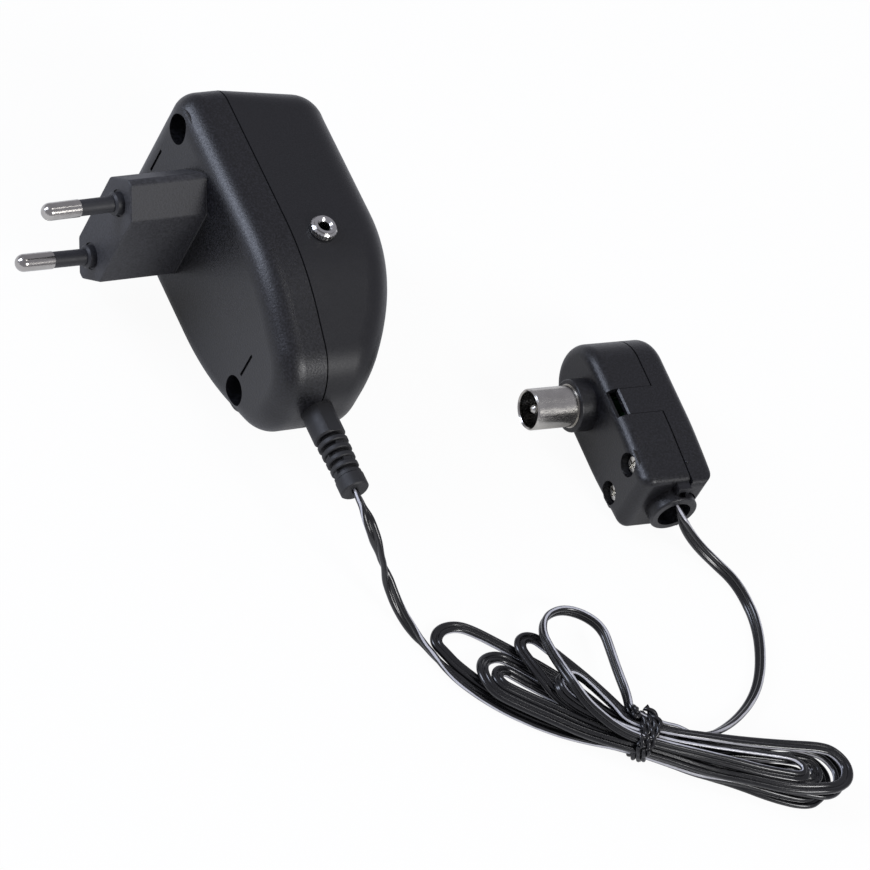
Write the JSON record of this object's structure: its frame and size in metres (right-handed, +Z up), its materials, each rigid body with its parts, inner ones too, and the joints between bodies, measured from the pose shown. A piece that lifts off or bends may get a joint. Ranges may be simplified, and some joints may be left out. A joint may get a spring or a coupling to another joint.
{
  "type": "plug-in power supply",
  "caption": "Plug-in mains power supply with a low voltage socket and a hank of twin flex to a side-entry coaxial aerial plug that feeds an aerial amplifier.",
  "frame": {"origin": "centre of the box around both housings on the surface they lie on, cord not counted", "axes": "+X from the mains pins towards the aerial plug, +Y away from the cord ends, +Z up"},
  "size_m": [0.1486, 0.1865, 0.0444],
  "materials": {
    "textured_black_plastic": "fine spark texture",
    "smooth_black_plastic": "satin",
    "plated_pin_metal": "nickel plated, lightly worn",
    "sleeve_plastic": "satin",
    "brass": "bright",
    "zinc_screw_steel": "zinc plated",
    "lamination_steel": "varnished sheet edges",
    "white_nylon": "satin",
    "enamelled_copper": "enamelled wire",
    "white_gloss_case": "gloss",
    "lead_insulation_red": "satin",
    "lead_insulation_blue": "satin",
    "lead_insulation_black": "satin",
    "board_laminate": "solder mask",
    "black_component_case": "moulded",
    "capacitor_sleeve": "shrunk sleeve",
    "socket_plastic": "moulded",
    "nickel": "bright nickel",
    "dull_nickel": "dull nickel, drawn",
    "tinned_plate": "tinned",
    "capacitor_disc": "dipped",
    "ferrite": "sintered",
    "flexible_black_vinyl": "satin",
    "flex_vinyl": "gloss, with one pale stripe",
    "tie_vinyl": "gloss"
  },
  "bodies": {
    "supply_and_plug": {"back_cover": "textured_black_plastic", "front_housing": "smooth_black_plastic", "mains_pins": "plated_pin_metal", "pin_sleeves": "sleeve_plastic", "pin_tabs": "brass", "housing_screws": "zinc_screw_steel", "transformer_core": "lamination_steel", "transformer_bobbin": "white_nylon", "bobbin_pins": "brass", "primary_winding": "enamelled_copper", "secondary_winding": "enamelled_copper", "thermal_fuse": "white_gloss_case", "primary_leads": "lead_insulation_red", "secondary_leads": "lead_insulation_blue", "circuit_board": "board_laminate", "rectifier_diodes": "black_component_case", "filter_capacitor": "capacitor_sleeve", "voltage_regulator": "black_component_case", "output_leads": "lead_insulation_red", "cord_leads": "lead_insulation_black", "jack_body": "socket_plastic", "jack_bushing": "nickel", "jack_nut": "nickel", "jack_contacts": "brass", "cord_strain_relief": "flexible_black_vinyl", "plug_front_shell": "textured_black_plastic", "coax_sleeve": "dull_nickel", "coax_insulator": "socket_plastic", "coax_pin": "nickel", "ground_plate": "tinned_plate", "plug_board": "board_laminate", "blocking_capacitor": "capacitor_disc", "feed_choke": "ferrite", "centre_terminal": "brass", "terminal_screw": "zinc_screw_steel", "clamp_screws": "zinc_screw_steel", "flex_anchor": "textured_black_plastic", "plug_leads": "lead_insulation_black", "cord_from_unit": "flex_vinyl", "cord_hank": "flex_vinyl", "cord_to_plug": "flex_vinyl", "twist_tie": "tie_vinyl"},
    "rear_cover": {"plug_rear_cover": "textured_black_plastic"},
    "cable_clamp": {"clamp_saddle": "zinc_screw_steel"}
  },
  "joints": [
    {"name": "rear_cover_lift_off", "type": "slide", "parent": "supply_and_plug", "child": "rear_cover", "axis": [0.999, -0.0436, 0], "range_m": [0, 0.025]},
    {"name": "cable_clamp_travel", "type": "slide", "parent": "supply_and_plug", "child": "cable_clamp", "axis": [0.999, -0.0436, 0], "range_m": [0, 0.0012]}
  ]
}
